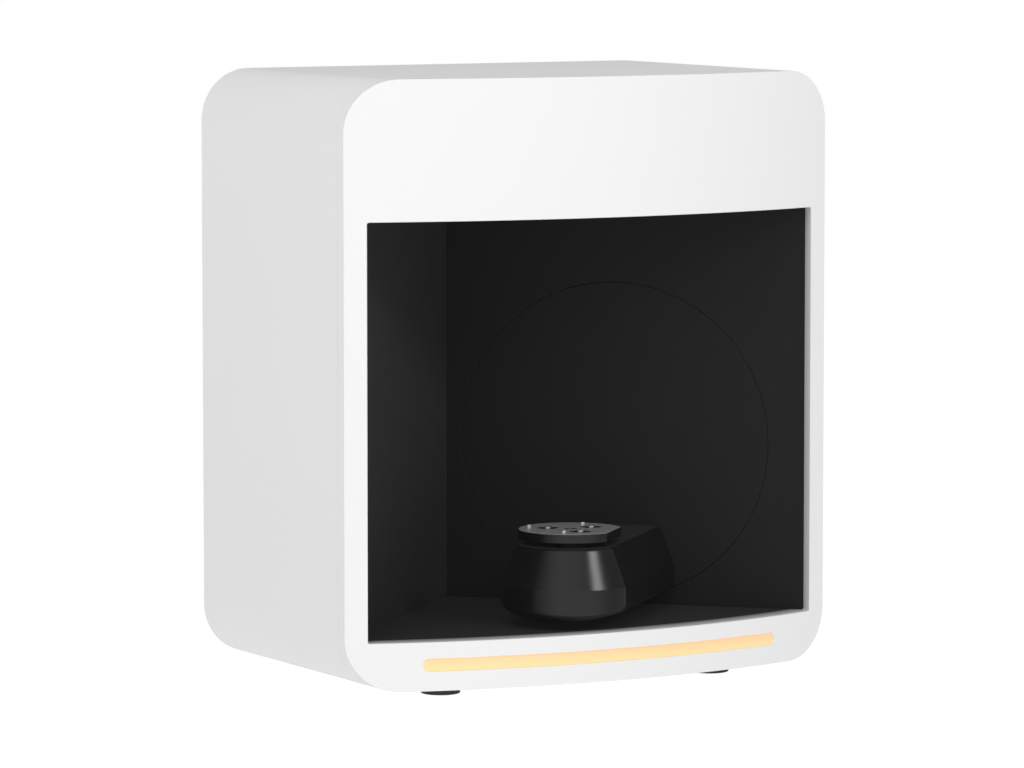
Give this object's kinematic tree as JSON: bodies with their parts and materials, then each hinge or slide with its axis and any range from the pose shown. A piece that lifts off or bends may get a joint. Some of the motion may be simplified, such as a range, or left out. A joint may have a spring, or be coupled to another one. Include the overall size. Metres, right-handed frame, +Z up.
{
  "type": "desktop 3d scanner",
  "caption": "White box with a bowed front, open onto a black chamber where a disc swings a hollow arm with a turntable at its nose.",
  "frame": {"origin": "on the table, below the middle of the object's overall box", "axes": "+X to the right seen from the front, +Y from the open front to the back, +Z up"},
  "size_m": [0.3662, 0.2458, 0.4072],
  "materials": {
    "white_plastic": "satin white moulded plastic",
    "black_sheet": "matt black powder coat",
    "black_plastic": "fine satin black plastic",
    "light_guide": "translucent diffuser, warm",
    "light_parts": "white reflector plastic",
    "leds": "yellow phosphor in white cases",
    "board": "green solder mask",
    "rubber": "matt black rubber",
    "steel": "bright zinc or nickel plate",
    "grey_sheet": "light grey powder coat",
    "glass": "clear coated glass",
    "aluminium": "machined aluminium",
    "dark_aluminium": "black anodised aluminium",
    "lens_black": "gloss black lens barrels",
    "belt_rubber": "black toothed belt rubber",
    "plate_grey": "polished dark grey plate",
    "electronics": "black component cases"
  },
  "bodies": {
    "housing": {"outer_shell": "white_plastic", "front_fascia": "white_plastic", "light_guide": "light_guide", "light_channel": "light_parts", "led_board": "board", "strip_leds": "leds", "chassis_plate": "grey_sheet", "rubber_feet": "rubber", "foot_screws": "steel", "rear_panel": "grey_sheet", "rear_screws": "steel", "chamber_floor": "black_sheet", "chamber_ceiling": "black_sheet", "chamber_left_wall": "black_sheet", "chamber_swing_wall": "black_sheet", "floor_posts": "steel", "ceiling_window": "glass", "drive_plate": "aluminium", "drive_standoffs": "steel", "swing_bearings": "steel", "swing_motor": "dark_aluminium", "drive_belt": "belt_rubber", "optical_frame": "aluminium", "optical_posts": "steel", "projector_body": "dark_aluminium", "projector_lens": "lens_black", "left_camera": "dark_aluminium", "left_camera_lens": "lens_black", "right_camera": "dark_aluminium", "right_camera_lens": "lens_black", "camera_brackets": "aluminium", "main_board": "board", "board_posts": "steel", "board_components": "electronics", "fan_frame": "black_plastic", "power_jack": "black_plastic", "usb_socket": "aluminium", "switch_frame": "black_plastic"},
    "swing_arm": {"swing_disc": "black_sheet", "swing_hub": "steel", "driven_pulley": "aluminium", "shaft_collar": "aluminium", "arm_cover": "black_plastic", "arm_tray": "black_plastic", "arm_spine": "aluminium", "turntable_motor": "dark_aluminium", "turntable_bearing": "steel"},
    "turntable": {"turntable_plate": "plate_grey", "turntable_hub": "aluminium", "locating_pins": "steel", "plate_magnets": "steel", "magnet_studs": "steel", "centre_screw": "steel"},
    "motor_pulley": {"motor_pulley": "aluminium"},
    "fan_rotor": {"fan_rotor": "black_plastic"},
    "power_rocker": {"power_rocker": "black_plastic"}
  },
  "joints": [
    {"name": "arm_swing", "type": "hinge", "parent": "housing", "child": "swing_arm", "pos_m": [0.074, 0.0086, 0.15185], "axis": [0.7071, 0.7071, 0], "range_deg": [-60, 60]},
    {"name": "turntable_spin", "type": "hinge", "parent": "swing_arm", "child": "turntable", "pos_m": [-0.00357, -0.06897, 0.10085], "axis": [0, 0, 1], "continuous": true},
    {"name": "motor_spin", "type": "hinge", "parent": "housing", "child": "motor_pulley", "pos_m": [0.074, 0.0086, 0.22385], "axis": [0.7071, 0.7071, 0], "range_deg": [-180, 180]},
    {"name": "fan_spin", "type": "hinge", "parent": "housing", "child": "fan_rotor", "pos_m": [0.09, 0.11, 0.33725], "axis": [0, 1, 0], "continuous": true},
    {"name": "rocker_tilt", "type": "hinge", "parent": "housing", "child": "power_rocker", "pos_m": [-0.144, 0.1159, 0.05925], "axis": [1, 0, 0], "range_deg": [-14, 0]}
  ],
  "couplings": [
    {"joint": "motor_spin", "follows": "arm_swing", "ratio": 3}
  ]
}
